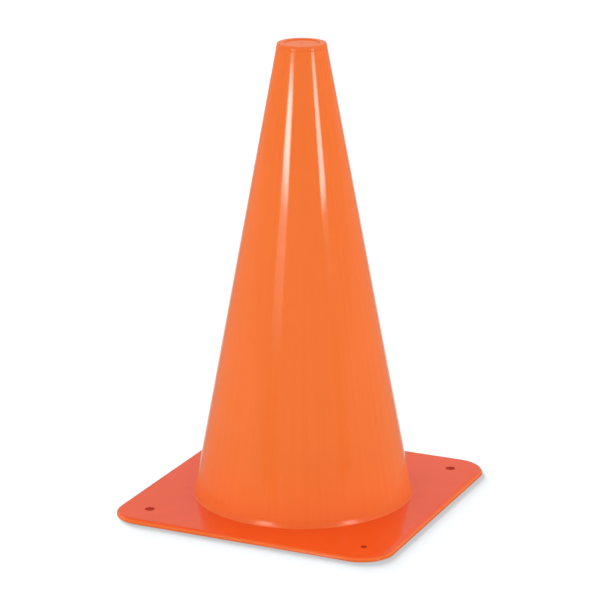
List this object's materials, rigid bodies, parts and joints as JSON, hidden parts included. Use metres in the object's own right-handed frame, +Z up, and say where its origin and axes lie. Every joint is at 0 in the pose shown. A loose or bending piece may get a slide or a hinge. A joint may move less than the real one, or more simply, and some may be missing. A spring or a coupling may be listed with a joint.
{
  "type": "sports marker cone",
  "caption": "Hollow tapered plastic cone on a thin square base with rounded corners and peg holes, closed at the top, for marking out a pitch.",
  "frame": {"origin": "middle of the base plate's underside, on the floor", "axes": "+Z up along the cone's axis, X and Y along the sides of the square base, the smaller peg hole at +X, -Y"},
  "size_m": [0.1946, 0.1946, 0.305],
  "materials": {
    "cone_plastic": "glossy moulded, orange",
    "plate_plastic": "glossy moulded, orange",
    "cap_plastic": "glossy moulded, orange"
  },
  "bodies": {
    "root": {"cone_shell": "cone_plastic", "base_plate": "plate_plastic", "top_cap": "cap_plastic"}
  },
  "joints": []
}
